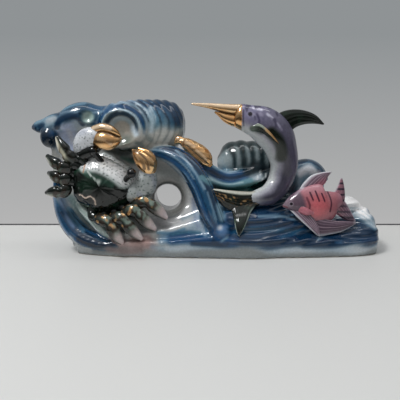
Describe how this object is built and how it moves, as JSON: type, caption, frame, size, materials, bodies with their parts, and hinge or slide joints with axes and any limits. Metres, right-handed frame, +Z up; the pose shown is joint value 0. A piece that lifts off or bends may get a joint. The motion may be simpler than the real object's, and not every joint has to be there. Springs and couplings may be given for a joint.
{
  "type": "porcelain figurine",
  "caption": "Glazed porcelain figurine: a marlin leaps over breaking waves that carry a crab, an angelfish and a small gilt fish, on a flat foot.",
  "frame": {"origin": "on the flat foot, under the middle of the sea", "axes": "+X along the length, from the crab's end to the angelfish's end; -Y is the side that faces the viewer; +Z up from the foot"},
  "size_m": [0.2, 0.0595, 0.0856],
  "materials": {
    "porcelain": "clear glossy glaze over airbrushed blue and white, with gold lustre on the bill, the claws and the small fish"
  },
  "bodies": {
    "root": {"figurine": "porcelain"}
  },
  "joints": []
}
